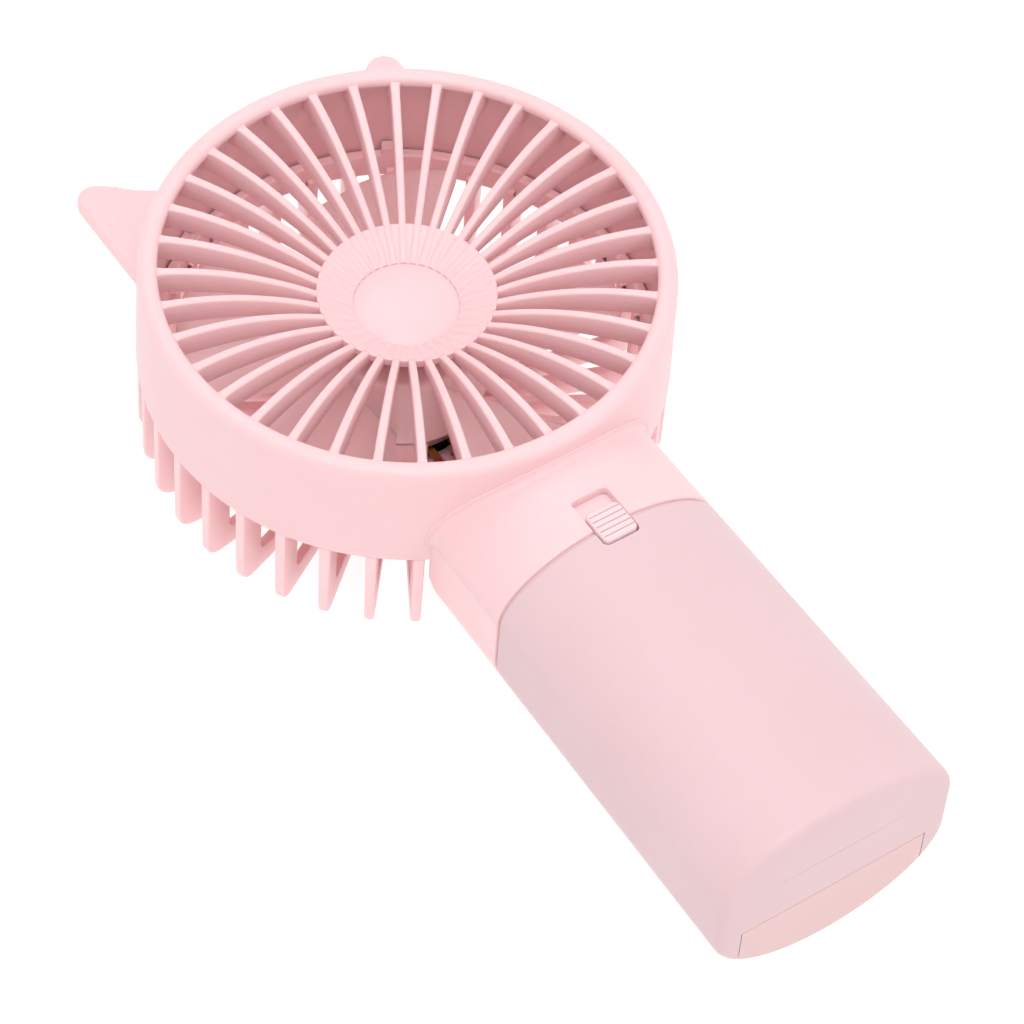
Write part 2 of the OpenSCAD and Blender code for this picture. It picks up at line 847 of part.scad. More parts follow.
module motor_lead_red() { color([0.8, 0.1, 0.1]) mirror([1, 0, 0]) motor_lead(); }
module motor_lead_black() { color([0.08, 0.08, 0.08]) motor_lead(); }

front_shell();
hub_cap();
left_ear();
right_ear();
rear_shell();
handle_front();
handle_rear();
battery_door();
switch_knob();
switch_slider();
switch_housing();
circuit_board();
battery_tray();
battery_left();
battery_right();
battery_front();
contact_springs();
contact_plates();
motor_can();
motor_end_cap();
motor_magnets();
front_bush();
rear_bush();
motor_brushes();
motor_terminals();
motor_shaft();
armature();
commutator();
impeller();
shell_screws();
battery_lead_red();
battery_lead_black();
motor_lead_red();
motor_lead_black();
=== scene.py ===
import json
import math

import bmesh
import bpy
import numpy as np
from mathutils import Matrix, Vector


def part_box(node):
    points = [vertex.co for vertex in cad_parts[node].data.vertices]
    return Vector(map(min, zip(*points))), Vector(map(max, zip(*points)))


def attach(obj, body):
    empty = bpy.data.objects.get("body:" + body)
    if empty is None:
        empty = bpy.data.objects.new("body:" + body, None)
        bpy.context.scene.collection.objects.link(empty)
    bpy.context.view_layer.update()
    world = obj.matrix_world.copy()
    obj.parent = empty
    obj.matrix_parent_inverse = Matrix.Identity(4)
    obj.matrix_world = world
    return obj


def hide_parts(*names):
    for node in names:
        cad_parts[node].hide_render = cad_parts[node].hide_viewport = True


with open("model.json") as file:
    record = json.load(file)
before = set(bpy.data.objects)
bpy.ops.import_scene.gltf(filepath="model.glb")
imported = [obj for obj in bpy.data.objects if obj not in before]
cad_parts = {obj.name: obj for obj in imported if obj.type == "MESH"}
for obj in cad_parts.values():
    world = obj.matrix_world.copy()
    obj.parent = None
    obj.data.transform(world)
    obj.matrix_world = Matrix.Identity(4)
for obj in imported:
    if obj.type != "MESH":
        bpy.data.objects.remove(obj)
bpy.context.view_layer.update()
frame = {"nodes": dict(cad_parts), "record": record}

# Lengths are millimetres and angles are degrees, except that lights and the camera's distance are in metres.
# Meshes are written in metres.
MM = 0.001


def box_mm(node):
    """Lowest and highest corner of a CAD node, in millimetres."""
    low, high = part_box(node)
    return low / MM, high / MM


# ---- sizes read from the frame ----

HEAD_LOW, HEAD_HIGH = box_mm("front_shell")
FACE_Z = HEAD_HIGH.z
RIM_Z = HEAD_LOW.z
RIM_R = HEAD_HIGH.x
CAP_R = box_mm("hub_cap")[1].x
CAP_TOP = box_mm("hub_cap")[1].z
COVER_LOW = box_mm("handle_front")[0]
END_Y = COVER_LOW.y
PART_Z = COVER_LOW.z - 0.05
DOOR_HIGH = box_mm("battery_door")[1]
KNOB_LOW, KNOB_HIGH = box_mm("switch_knob")
ROTOR_LOW, ROTOR_HIGH = box_mm("impeller")
EAR_LOW, EAR_HIGH = box_mm("right_ear")

# ---- head ----
WALL = 2.0
HEAD_R = 45.0
OPENING_R = 41.6
DRUM_IN_R = RIM_R - WALL
LIP_Z = FACE_Z - 2
SPOKES = 36
SPOKE_H = 4.4
SPOKE_ARCH = 1.9
SPOKE_BACK_ARCH = 1.1
DISH_R = 15.2
DISH_Z = FACE_Z - 7.3
DISH_BACK_Z = 27.6
CAP_Z = FACE_Z - 10.7
CAP_SEAT_Z = 29.3
CAP_DEPTH = 1.8
RIDGE_H = 0.36

# ---- ears ----
EAR_TIP_R = 3.2
EAR_EDGE = 0.8
EAR_ROOT_Y = 30.0

# ---- cage ----
FIN_R = RIM_R - 0.2
LEG_DEPTH = 5.0
FOOT_H = 4.6
SET_BACK = 6.0
DISC_R = 15.5
DISC_T = 2.4
SEAT_R = 13.6
SEAT_IN_R = 12.25
SEAT_TOP = 9.4
RING_R = DRUM_IN_R - 0.3
RING_IN_R = RING_R - 1.9
RING_TOP = RIM_Z + 2.8
TAB_ANGLES = (60, 120, 240, 300)
TAB_HALF_W = 1.8
TAB_H = 1.9
ARM_HALF_W = 4.5
ARM_LOW, ARM_TOP = 0.9, 3.4

# ---- handle ----
HANDLE_TOP = 36.5
END_W = 44.8
NECK_W = 42.2
NECK_W_Y = -45.0
HEAD_SIDE_Y = -46.0
DOOR_Z = 14.5
FRONT_RISE = HANDLE_TOP - PART_Z
BACK_RISE = DOOR_Z
SEAM_Y = -60.0
HALF_SEAM = 0.3
SEAM_DEPTH = 0.55
COVER_EDGE = 0.35
NECK_EDGE = 0.4
CASE_WALL = 2.4
NECK_WALL = 2.1
END_ROUND = 1.8
SCREW_HEAD_R = 2.3
NECK_SCREW = (13, -53, 8)
CASE_SCREW = (16.2, -63.9, 11)

# ---- battery door ----
DOOR_HALF_W = 17.8
DOOR_EDGE = 0.3
GROOVES = 6
GROOVE_PITCH = 2.2
GROOVE_DEPTH = 0.5

# ---- switch ----
SLOT_Y = -58.2
SLOT_W = 6.8
SLOT_L = 10.0
KNOB_TRAVEL = 3.2
KNOB_GAP = 0.2
KNOB_GROOVES = 5
FLANGE_TOP = 34.9
FLANGE_T = 0.9
FLANGE_HALF_W = 4.3

# ---- impeller ----
BLADES = 5
BLADE_PHASE = 16.0
BLADE_LOW = 12.6
BLADE_H = 12.0
BLADE_TWIST = 46.0
BLADE_CORNER = 5.0
HALF_BLADE = 0.62
HUB_R = 14.3
HUB_IN_R = HUB_R - 1.2
HUB_ROOF_Z = 23.9


# ---- mesh tools ----

def build(name, verts, faces, smooth_angle=32):
    """A mesh object from points in millimetres, with outward normals and smooth shading below an angle."""
    mesh = bpy.data.meshes.new(name)
    mesh.from_pydata([tuple(c * MM for c in v) for v in verts], [], faces)
    return finish_mesh(name, mesh, smooth_angle)


def finish_mesh(name, mesh, smooth_angle=32):
    bm = bmesh.new()
    bm.from_mesh(mesh)
    bmesh.ops.remove_doubles(bm, verts=bm.verts, dist=1e-6)
    bmesh.ops.dissolve_degenerate(bm, dist=1e-7, edges=bm.edges)
    bmesh.ops.recalc_face_normals(bm, faces=bm.faces)
    bm.to_mesh(mesh)
    bm.free()
    mesh.shade_smooth()
    mesh.set_sharp_from_angle(angle=math.radians(smooth_angle))
    piece = bpy.data.objects.new(name, mesh)
    bpy.context.scene.collection.objects.link(piece)
    return piece


def join(name, pieces, smooth_angle=32):
    """One object from several closed meshes."""
    bm = bmesh.new()
    for piece in pieces:
        bm.from_mesh(piece.data)
        bpy.data.objects.remove(piece)
    mesh = bpy.data.meshes.new(name)
    bm.to_mesh(mesh)
    bm.free()
    mesh.shade_smooth()
    mesh.set_sharp_from_angle(angle=math.radians(smooth_angle))
    piece = bpy.data.objects.new(name, mesh)
    bpy.context.scene.collection.objects.link(piece)
    return piece


def combine(target, cutter, operation="DIFFERENCE", smooth_angle=32):
    """The target with the cutter taken away or added, as a plain mesh. Both are closed."""
    change = target.modifiers.new("change", "BOOLEAN")
    change.operation = operation
    change.object = cutter
    change.solver = "MANIFOLD"
    bpy.context.view_layer.update()
    shaped = bpy.data.meshes.new_from_object(target.evaluated_get(bpy.context.evaluated_depsgraph_get()))
    target.modifiers.clear()
    target.data = shaped
    shaped.shade_smooth()
    shaped.set_sharp_from_angle(angle=math.radians(smooth_angle))
    bpy.data.objects.remove(cutter)
    return target


def round_corners(corners, steps=5):
    """A closed outline from corners (x, y, radius), each rounded by an arc."""
    points = []
    count = len(corners)
    for i, (x, y, radius) in enumerate(corners):
        here = np.array([x, y], float)
        if radius <= 0:
            points.append(here)
            continue
        before = np.array(corners[i - 1][:2], float)
        after = np.array(corners[(i + 1) % count][:2], float)
        u = (before - here) / np.linalg.norm(before - here)
        v = (after - here) / np.linalg.norm(after - here)
        half = math.acos(np.clip(u @ v, -1, 1)) / 2
        reach = radius / math.tan(half)
        middle = here + (u + v) / np.linalg.norm(u + v) * radius / math.sin(half)
        first = here + u * reach - middle
        last = here + v * reach - middle
        a0 = math.atan2(first[1], first[0])
        turn = math.remainder(math.atan2(last[1], last[0]) - a0, 2 * math.pi)
        for k in range(steps + 1):
            a = a0 + turn * k / steps
            points.append(middle + radius * np.array([math.cos(a), math.sin(a)]))
    return points


def revolve(name, profile, steps=180, lift=None, smooth_angle=32):
    """A closed profile of (radius, z) turned about Z. lift(radius, angle, index) raises its points."""
    verts, rings = [], []
    for index, (r, z) in enumerate(profile):
        if r < 1e-6:
            rings.append([len(verts)] * steps)
            verts.append((0, 0, z))
            continue
        rings.append(list(range(len(verts), len(verts) + steps)))
        for k in range(steps):
            a = 2 * math.pi * k / steps
            up = lift(r, a, index) if lift else 0
            verts.append((r * math.cos(a), r * math.sin(a), z + up))
    faces = []
    for i, ring in enumerate(rings):
        nxt = rings[(i + 1) % len(rings)]
        if ring[0] == ring[1] and nxt[0] == nxt[1]:
            continue
        for k in range(steps):
            m = (k + 1) % steps
            quad = [ring[k], ring[m], nxt[m], nxt[k]]
            faces.append([q for j, q in enumerate(quad) if q != quad[j - 1]])
    return build(name, verts, faces, smooth_angle)


def loft(name, sections, smooth_angle=40):
    """A closed body through loops of equal length, with flat ends."""
    verts = [tuple(p) for loop in sections for p in loop]
    n = len(sections[0])
    faces = []
    for i in range(len(sections) - 1):
        for k in range(n):
            m = (k + 1) % n
            faces.append([i * n + k, i * n + m, (i + 1) * n + m, (i + 1) * n + k])
    faces.append(list(range(n)))
    faces.append([(len(sections) - 1) * n + k for k in range(n)])
    return build(name, verts, faces, smooth_angle)


def shell(name, outer, inner, smooth_angle=32):
    """A closed wall between two sheets of points with the same rows and columns."""
    outer, inner = np.array(outer, float), np.array(inner, float)
    rows, cols = outer.shape[:2]
    verts = [tuple(p) for p in outer.reshape(-1, 3)] + [tuple(p) for p in inner.reshape(-1, 3)]
    base = rows * cols

    def at(i, j, side):
        return side * base + i * cols + j

    faces = []
    for i in range(rows - 1):
        for j in range(cols - 1):
            faces.append([at(i, j, 0), at(i, j + 1, 0), at(i + 1, j + 1, 0), at(i + 1, j, 0)])
            faces.append([at(i, j, 1), at(i + 1, j, 1), at(i + 1, j + 1, 1), at(i, j + 1, 1)])
    for i in range(rows - 1):
        for j in (0, cols - 1):
            faces.append([at(i, j, 0), at(i + 1, j, 0), at(i + 1, j, 1), at(i, j, 1)])
    for j in range(cols - 1):
        for i in (0, rows - 1):
            faces.append([at(i, j, 0), at(i, j + 1, 0), at(i, j + 1, 1), at(i, j, 1)])
    return build(name, verts, faces, smooth_angle)


def inset_outline(points, amount):
    """The closed outline moved inwards by amount, for an outline that runs anticlockwise."""
    moved = []
    count = len(points)
    for i in range(count):
        a, b, c = (np.array(points[(i + k) % count], float) for k in (-1, 0, 1))
        n1 = np.array([a[1] - b[1], b[0] - a[0]])
        n2 = np.array([b[1] - c[1], c[0] - b[0]])
        n1 /= np.linalg.norm(n1) + 1e-12
        n2 /= np.linalg.norm(n2) + 1e-12
        n = n1 + n2
        n /= max(n @ n1, 0.35)
        moved.append(b + n * amount)
    return moved


def rounded_plate(outline, half_thickness, edge, place, steps=3):
    """A plate with rounded edges. half_thickness(point) is half its thickness there, place(point, side) puts
    a point of the outline, at a distance to one side of the middle, into space."""
    loops = []
    for side in (-1, 1):
        for k in range(steps + 1):
            f = math.pi / 2 * (k if side < 0 else steps - k) / steps
            inset = edge * (1 - math.sin(f))
            ring = inset_outline(outline, inset)
            loops.append([place(p, side * (half_thickness(p) - edge * (1 - math.cos(f)))) for p in ring])
    return loft("plate", loops)


def lerp(a, b, t):
    return a + (b - a) * t


def smooth_step(t):
    t = min(max(t, 0.0), 1.0)
    return t * t * (3 - 2 * t)


# ---- materials ----

def srgb(r, g, b):
    """Linear colour from 0 to 255 display values."""
    def linear(v):
        v /= 255
        return v / 12.92 if v <= 0.04045 else ((v + 0.055) / 1.055) ** 2.4
    return (linear(r), linear(g), linear(b), 1)


class Paint:
    """A material with a Principled shader and helpers for its nodes."""

    def __init__(self, name):
        self.material = bpy.data.materials.new(name)
        self.material.use_nodes = True
        self.tree = self.material.node_tree
        self.shader = self.tree.nodes["Principled BSDF"]
        self.place = self.tree.nodes.new("ShaderNodeTexCoord").outputs["Object"]

    def set(self, **values):
        for key, value in values.items():
            self.shader.inputs[key.replace("_", " ")].default_value = value
        return self

    def link(self, a, b):
        self.tree.links.new(a, b)

    def noise(self, size_mm, detail=2.0, stretch=None):
        """Noise with features of about size_mm, from 0 to 1."""
        node = self.tree.nodes.new("ShaderNodeTexNoise")
        node.inputs["Scale"].default_value = 1 / (size_mm * MM)
        node.inputs["Detail"].default_value = detail
        if stretch:
            mapping = self.tree.nodes.new("ShaderNodeMapping")
            mapping.inputs["Scale"].default_value = stretch
            self.link(self.place, mapping.inputs["Vector"])
            self.link(mapping.outputs["Vector"], node.inputs["Vector"])
        else:
            self.link(self.place, node.inputs["Vector"])
        return node.outputs["Fac"]

    def ramp(self, value, low, low_colour, high, high_colour):
        """A colour that runs from one at low to another at high."""
        node = self.tree.nodes.new("ShaderNodeValToRGB")
        first, last = node.color_ramp.elements
        first.position, first.color = low, low_colour
        last.position, last.color = high, high_colour
        self.link(value, node.inputs["Fac"])
        return node.outputs["Color"]

    def remap(self, value, low, high):
        node = self.tree.nodes.new("ShaderNodeMapRange")
        node.inputs["To Min"].default_value = low
        node.inputs["To Max"].default_value = high
        self.link(value, node.inputs["Value"])
        return node.outputs["Result"]

    def bump(self, height, depth_mm, strength=1.0):
        node = self.tree.nodes.new("ShaderNodeBump")
        node.inputs["Distance"].default_value = depth_mm * MM
        node.inputs["Strength"].default_value = strength
        self.link(height, node.inputs["Height"])
        if self.shader.inputs["Normal"].is_linked:
            self.link(self.shader.inputs["Normal"].links[0].from_socket, node.inputs["Normal"])
        self.link(node.outputs["Normal"], self.shader.inputs["Normal"])
        return self


def scaled(colour, factor):
    return (colour[0] * factor[0], colour[1] * factor[1], colour[2] * factor[2], 1)


def moulded(name, colour, roughness=0.42, bleed=0.5, reach=0.0012):
    """Moulded plastic: faint colour drift from the melt's flow, a fine satin skin, light under the skin."""
    paint = Paint(name)
    tone = paint.ramp(paint.noise(26, 3), 0.3, scaled(colour, (0.985, 0.955, 0.955)), 0.7, colour)
    paint.link(tone, paint.shader.inputs["Base Color"])
    satin = paint.remap(paint.noise(7, 4), roughness - 0.05, roughness + 0.06)
    paint.link(satin, paint.shader.inputs["Roughness"])
    paint.bump(paint.noise(0.25, 3), 0.008, 0.6)
    paint.bump(paint.noise(9, 2), 0.05, 0.35)
    paint.set(Subsurface_Weight=bleed, Subsurface_Scale=reach)
    paint.shader.inputs["Subsurface Radius"].default_value = (1.0, 0.32, 0.28)
    paint.shader.inputs["Specular IOR Level"].default_value = 0.5
    return paint.material


def metal(name, colour, roughness, scratch_mm, stretch=None):
    """Metal with fine drawn or rolled marks."""
    paint = Paint(name)
    paint.set(Metallic=1.0)
    marks = paint.noise(scratch_mm, 4, stretch)
    tone = paint.ramp(marks, 0.3, scaled(colour, (0.8, 0.8, 0.8)), 0.7, colour)
    paint.link(tone, paint.shader.inputs["Base Color"])
    paint.link(paint.remap(marks, roughness - 0.08, roughness + 0.12), paint.shader.inputs["Roughness"])
    paint.bump(marks, 0.004, 0.5)
    return paint.material


def insulation(name, colour):
    """Soft lead insulation."""
    paint = Paint(name)
    tone = paint.ramp(paint.noise(3, 3), 0.3, scaled(colour, (0.75, 0.75, 0.75)), 0.7, colour)
    paint.link(tone, paint.shader.inputs["Base Color"])
    paint.link(paint.remap(paint.noise(1.5, 3), 0.38, 0.55), paint.shader.inputs["Roughness"])
    paint.bump(paint.noise(0.5, 2), 0.01, 0.5)
    return paint.material


def speckled(name, colour, roughness, size_mm, depth):
    """Dark engineering plastic, ferrite or laminate with a granular skin."""
    paint = Paint(name)
    grain = paint.noise(size_mm, 4)
    tone = paint.ramp(grain, 0.35, scaled(colour, (0.7, 0.7, 0.7)), 0.65, colour)
    paint.link(tone, paint.shader.inputs["Base Color"])
    paint.link(paint.remap(grain, roughness - 0.08, roughness + 0.1), paint.shader.inputs["Roughness"])
    paint.bump(grain, depth, 0.6)
    return paint.material


PINK = srgb(243, 205, 208)
PINK_CASE = srgb(223, 193, 197)
PINK_CAGE = srgb(254, 212, 214)

MATERIALS = {
    "pink_shell": moulded("pink_shell", PINK, bleed=0.3, reach=0.0006),
    "pink_cage": moulded("pink_cage", PINK_CAGE, bleed=0.5, reach=0.001),
    "pink_case": moulded("pink_case", PINK_CASE, roughness=0.46, bleed=0.2, reach=0.0006),
    "pink_door": moulded("pink_door", srgb(227, 193, 193), roughness=0.46, bleed=0.2, reach=0.0006),
    "pink_cap": moulded("pink_cap", srgb(243, 204, 208), roughness=0.36, bleed=0.2, reach=0.0006),
    "pink_ears": moulded("pink_ears", PINK),
    "knob": moulded("knob", srgb(238, 210, 213), roughness=0.5, bleed=0.1, reach=0.0005),
    "blades": moulded("blades", srgb(244, 212, 213), roughness=0.3, bleed=0.3),
    "black_plastic": speckled("black_plastic", srgb(38, 38, 40), 0.5, 0.3, 0.01),
    "steel": metal("steel", srgb(205, 206, 210), 0.3, 0.5, (1, 1, 12)),
    "magnet": speckled("magnet", srgb(62, 62, 66), 0.55, 0.2, 0.02),
    "brass": metal("brass", srgb(214, 176, 104), 0.38, 0.15),
    "copper": metal("copper", srgb(196, 118, 76), 0.35, 0.2),
    "spring_steel": metal("spring_steel", srgb(212, 212, 208), 0.22, 0.3),
    "board": speckled("board", srgb(26, 92, 56), 0.4, 0.6, 0.01),
    "cell_jacket": metal("cell_jacket", srgb(206, 142, 74), 0.3, 2.0, (6, 1, 6)),
    "lead_red": insulation("lead_red", srgb(186, 28, 28)),
    "lead_black": insulation("lead_black", srgb(30, 30, 30)),
}


def dress(piece, body, slot_name, *nodes):
    """Gives a piece the material of its slot and its body, and hides the CAD nodes that it stands for."""
    piece.data.materials.clear()
    piece.data.materials.append(MATERIALS[slot_name])
    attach(piece, body)
    if nodes:
        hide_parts(*nodes)
    return piece


# ---- handle form ----

def width_at(y):
    """Width of the handle, which grows slightly from the neck to the end."""
    return lerp(NECK_W, END_W, (NECK_W_Y - y) / (NECK_W_Y - END_Y))


def front_point(t, y, inset):
    """Point of the front half of the handle's section at angle t."""
    half = width_at(y) / 2 - inset
    a = math.radians(t)
    return (half * math.cos(a), y, PART_Z + (FRONT_RISE - inset) * math.sin(a))


def back_path(steps_side, steps_round):
    """Keys along the back half: shares down the straight side, angles round the back, shares up again."""
    down = [("side", -1, i / steps_side) for i in range(steps_side)]
    under = [("round", 0, 180 + 180 * i / steps_round) for i in range(steps_round + 1)]
    up = [("side", 1, 1 - i / steps_side) for i in range(1, steps_side + 1)]
    return down + under + up


def back_point(key, y, inset):
    """Point of the back half of the handle's section. A side's share runs from the parting line downwards."""
    kind, side, value = key
    half = width_at(y) / 2 - inset
    if kind == "side":
        return (side * half, y, lerp(PART_Z + 0.02, DOOR_Z, value))
    t = math.radians(value)
    return (half * math.cos(t), y, DOOR_Z + (BACK_RISE - inset) * math.sin(t))


def start_rows(y_start, edge, way):
    """Rows (y, inset) of a rounded edge at the seam. way is 1 towards the head, -1 towards the end."""
    angles = [math.pi / 2 * k / 4 for k in range(5)]
    return [(y_start + way * edge * (1 - math.cos(f)), edge * (1 - math.sin(f))) for f in angles]


def edge_rows(y_start, edge, body_steps, end_steps):
    """Rows (y, inset) from a rounded start edge along the body to the handle's rounded end."""
    rows = start_rows(y_start, edge, -1)
    y_body_end = END_Y + END_ROUND
    for k in range(1, body_steps + 1):
        rows.append((lerp(y_start - edge, y_body_end, k / body_steps), 0))
    for k in range(1, end_steps + 1):
        f = math.pi / 2 * k / end_steps
        rows.append((y_body_end - END_ROUND * math.sin(f), END_ROUND * (1 - math.cos(f))))
    return rows


def inner_y(y, row, rows, end_steps):
    """Where the inside of a row lies: under the outside, then stepped to the end wall in the last rows."""
    late = row - (len(rows) - 1 - end_steps)
    if late > 0:
        return lerp(END_Y + END_ROUND + 0.6, END_Y + WALL, late / end_steps)
    return max(y, END_Y + WALL + 0.4)


def cover(name, point, keys, centre_z):
    """A half cover of the handle, closed at the far end. point(key, y, inset) is a point of its section."""
    body_steps = 40
    end_steps = 7
    y_start = SEAM_Y - HALF_SEAM
    rows = edge_rows(y_start, COVER_EDGE, body_steps, end_steps)
    outer = [[point(key, y, inset) for key in keys] for y, inset in rows]
    inner = []
    for i, (y, _) in enumerate(rows):
        y_in = inner_y(y, i, rows, end_steps)
        inner.append([point(key, y_in, CASE_WALL) for key in keys])
    end_outer, end_inner = outer[-1], inner[-1]
    for share in (0.8, 0.55, 0.3, 0.1, 0.0):
        outer.append([(x * share, y, lerp(centre_z, z, share)) for x, y, z in end_outer])
        inner.append([(x * share, y, lerp(centre_z, z, share)) for x, y, z in end_inner])
    ys = (y_start - 0.4, SEAM_Y + HALF_SEAM)
    tongue = shell("tongue", [[point(key, y, SEAM_DEPTH) for key in keys] for y in ys],
                   [[point(key, y, CASE_WALL - 0.3) for key in keys] for y in ys])
    return combine(shell(name, outer, inner), tongue, "UNION")


def slot_cutter():
    """The switch slot with a rounded lip, as a body to cut with."""
    half_w, half_l = SLOT_W / 2, SLOT_L / 2
    corner = 0.9
    sharp_corner = 0.3
    flare = [(-6.5, 0.0), (-0.6, 0.0), (-0.3, 0.05), (-0.1, 0.16), (0.05, 0.32), (1.5, 1.0)]
    loops = []
    for rise, grow in flare:
        w, reach = half_w + grow, half_l + grow
        corners = [(w, -reach, corner + grow), (w, reach, corner + grow),
                   (-w, reach, sharp_corner + grow), (-w, -reach, corner + grow)]
        loops.append([(x, SLOT_Y + y, HANDLE_TOP + rise) for x, y in round_corners(corners, 6)])
    return loft("cutter", loops)


def flange_pocket():
    """The thinner wall round the slot, where the knob's flange slides, as a body to cut with."""
    half, low, top = FLANGE_HALF_W + 0.4, 28, FLANGE_TOP + 0.1
    section = round_corners([(-half, low, 0), (half, low, 0), (half, top, 0.3), (-half, top, 0.3)], 3)
    return loft("cutter", [[(x, y, z) for x, z in section] for y in (SLOT_Y - 9.2, SLOT_Y + 9.2)])


def block(low, high):
    """A plain box body to cut with."""
    (x0, y0, z0), (x1, y1, z1) = low, high
    return loft("cutter", [[(x0, y0, z), (x1, y0, z), (x1, y1, z), (x0, y1, z)] for z in (z0, z1)])


# ---- front shell ----

def ridge(r, a):
    """Height of the dish's ridges, which the spokes run on from, at a radius and an angle."""
    pitch = 2 * math.pi / SPOKES
    off = abs(math.remainder(a, pitch)) * r
    return RIDGE_H * (1 - smooth_step((off - 0.34) / 0.4))


def make_dish():
    """The dished centre, with ridges on its cone and a seat for the cap."""
    cone_steps = 8
    seat_r = CAP_R + 0.01
    profile = [(0, CAP_SEAT_Z), (seat_r, CAP_SEAT_Z), (seat_r, CAP_Z - 0.04)]
    first = len(profile)
    for k in range(cone_steps + 1):
        share = k / cone_steps
        profile.append((lerp(CAP_R + 0.02, DISH_R - 0.25, share), lerp(CAP_Z, DISH_Z - 0.05, share)))
    last = len(profile)
    profile += [(DISH_R - 0.05, DISH_Z - 0.1), (DISH_R, DISH_Z - 0.35), (DISH_R, DISH_Z - 1.5),
                (DISH_R - 0.2, DISH_Z - 1.75), (CAP_R + 1, CAP_Z - 1.9),
                (CAP_R, DISH_BACK_Z), (0, DISH_BACK_Z)]

    def lift(r, a, index):
        return ridge(r, a) if first <= index < last else 0
    return revolve("dish", profile, steps=SPOKES * 10, lift=lift, smooth_angle=45)


def spoke_share(r):
    """How far a radius is along the spoke's free length, from 0 at the dish to 1 at the ring."""
    return min(1.0, max(0.0, (r - DISH_R) / (OPENING_R + 0.6 - DISH_R)))


def spoke_top(r):
    if r < DISH_R:
        cone_in_r = CAP_R + 0.2
        return lerp(CAP_Z, DISH_Z, (r - cone_in_r) / (DISH_R - cone_in_r)) + 0.2
    t = spoke_share(r)
    return lerp(DISH_Z + 0.22, FACE_Z - 0.9, t) + 4 * SPOKE_ARCH * t * (1 - t)


def spoke_bottom(r):
    if r < DISH_R:
        return DISH_Z - 1.2
    t = spoke_share(r)
    low = lerp(DISH_Z - 2, FACE_Z - 1 - SPOKE_H, t) + 4 * SPOKE_BACK_ARCH * t * (1 - t)
    return max(low, 28.5)


def make_spoke(angle):
    """A spoke with a rounded top, wider towards the ring, with small fillets where it joins."""
    loops = []
    steps = 22
    c, s = math.cos(math.radians(angle)), math.sin(math.radians(angle))
    for i in range(steps + 1):
        r = lerp(DISH_R - 1.2, DRUM_IN_R + 0.3, i / steps)
        share = (r - DISH_R) / (OPENING_R - DISH_R)
        near_ring = max(0.0, r - OPENING_R + 1.0)
        half = lerp(0.68, 0.84, share) + 0.3 * min(near_ring, 1.1) ** 2
        half_top = half * 0.92
        low, top = spoke_bottom(r), spoke_top(r)
        corner = min(0.42, half * 0.7)
        foot = 0.2
        corners = [(-half, low, foot), (half, low, foot), (half_top, top, corner), (-half_top, top, corner)]
        loops.append([(r * c - x * s, r * s + x * c, z) for x, z in round_corners(corners, 3)])
    return loft("spoke", loops, 50)


def make_drum():
    """The drum wall with the guard ring's rounded face and inner lip."""
    profile = round_corners([
        (RIM_R, RIM_Z, 0.35), (HEAD_R, FACE_Z, 1.7), (OPENING_R, FACE_Z, 1.3),
        (OPENING_R, LIP_Z, 0.5), (DRUM_IN_R, LIP_Z - 0.5, 0.6), (DRUM_IN_R, RIM_Z, 0.25)], 8)
    return revolve("drum", profile, steps=240)


def to_circle(x, radius):
    """Y of the circle round the hub's axis at x, on the handle's side."""
    return -math.sqrt(max(radius * radius - x * x, 0.0))


def make_neck_front():
    """The front half of the neck, which runs into the drum wall with a small fillet."""
    body, turn, fillet = 18, 8, 1.1
    angles = [180 * j / 72 for j in range(73)]
    outer, inner = [], []
    for y, inset in start_rows(SEAM_Y + HALF_SEAM, NECK_EDGE, 1):
        outer.append([front_point(t, y, inset) for t in angles])
        inner.append([front_point(t, y, NECK_WALL) for t in angles])
    begin = outer[-1][0][1]
    goals = [to_circle(front_point(t, HEAD_SIDE_Y, 0)[0], RIM_R) for t in angles]
    steps = [(i / body, 0) for i in range(1, body + 1)]
    steps += [(1, 90 * k / turn) for k in range(1, turn + 1)]
    for share, bend in steps:
        reach = fillet * (1 - math.sin(math.radians(bend)))
        rise = fillet * (1 - math.cos(math.radians(bend)))
        ys = [lerp(begin, goal - reach, share) for goal in goals]
        outer.append([front_point(t, y, -rise) for t, y in zip(angles, ys)])
        inner.append([front_point(t, y, NECK_WALL) for t, y in zip(angles, ys)])
    into_drum = 0.8
    outer.append([(x, y + into_drum, z) for x, y, z in outer[-1]])
    inner.append([(x, y + into_drum, z) for x, y, z in inner[-1]])
    return shell("neck_front", outer, inner)


def make_front_shell():
    neck = combine(combine(make_neck_front(), slot_cutter()), flange_pocket())
    spokes = join("spokes", [make_spoke(360 / SPOKES * i) for i in range(SPOKES)])
    whole = make_drum()
    for piece in (spokes, make_dish(), neck):
        whole = combine(whole, piece, "UNION", 38)
    whole.name = "front_shell_looks"
    return dress(whole, "root", "pink_shell", "front_shell")


def make_hub_cap():
    """The domed cap."""
    steps = 14
    profile = [(0, CAP_TOP - CAP_DEPTH), (CAP_R, CAP_TOP - CAP_DEPTH)]
    for k in range(steps + 1):
        r = CAP_R * math.cos(math.pi / 2 * k / steps)
        profile.append((r, CAP_Z + (CAP_TOP - CAP_Z) * (1 - (r / CAP_R) ** 2.2)))
    return dress(revolve("hub_cap_looks", profile, 144), "root", "pink_cap", "hub_cap")


# ---- ears ----

def bezier(points, steps):
    """Points of a quadratic curve."""
    a, b, c = (np.array(p, float) for p in points)
    return [(1 - t) ** 2 * a + 2 * t * (1 - t) * b + t * t * c for t in np.linspace(0, 1, steps + 1)]


